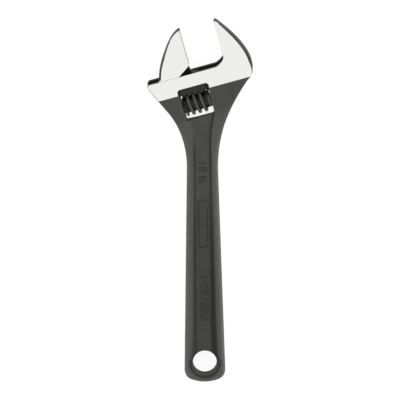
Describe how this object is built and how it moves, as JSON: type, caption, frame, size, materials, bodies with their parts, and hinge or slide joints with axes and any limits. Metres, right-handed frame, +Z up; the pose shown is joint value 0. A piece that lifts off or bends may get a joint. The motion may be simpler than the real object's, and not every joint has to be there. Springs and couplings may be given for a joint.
{
  "type": "adjustable wrench",
  "caption": "Adjustable wrench: black forged handle and head with ground faces, a sliding jaw on a round rack, and a worm in a window.",
  "frame": {"origin": "bottom centre of the whole wrench, lying on its side, jaws open as at rest", "axes": "+Y along the handle towards the jaws, +X towards the fixed jaw's side of the head, +Z up through the thickness"},
  "size_m": [0.0721, 0.2548, 0.0178],
  "materials": {
    "forging": "black phosphate on a fine forged grain, with satin ground steel on the head's faces",
    "jaw_steel": "satin ground faces, black phosphate on the outer edges, the neck and the rack",
    "worm_steel": "oiled black oxide, semi-gloss",
    "spring_steel": "bright drawn wire"
  },
  "bodies": {
    "frame": {"body": "forging", "worm_pin": "worm_steel", "worm_spring": "spring_steel"},
    "jaw": {"moving_jaw": "jaw_steel"},
    "knurl": {"worm": "worm_steel"}
  },
  "joints": [
    {"name": "worm_spin", "type": "hinge", "parent": "frame", "child": "knurl", "pos_m": [-0.00213, 0.06967, 0.00888], "axis": [0.9659, 0.2588, 0], "range_deg": [-1915, 598]},
    {"name": "jaw_slide", "type": "slide", "parent": "frame", "child": "jaw", "axis": [0.9659, 0.2588, 0], "range_m": [-0.0073, 0.0234]}
  ],
  "couplings": [
    {"joint": "worm_spin", "follows": "jaw_slide", "rad_per_m": -1428}
  ]
}
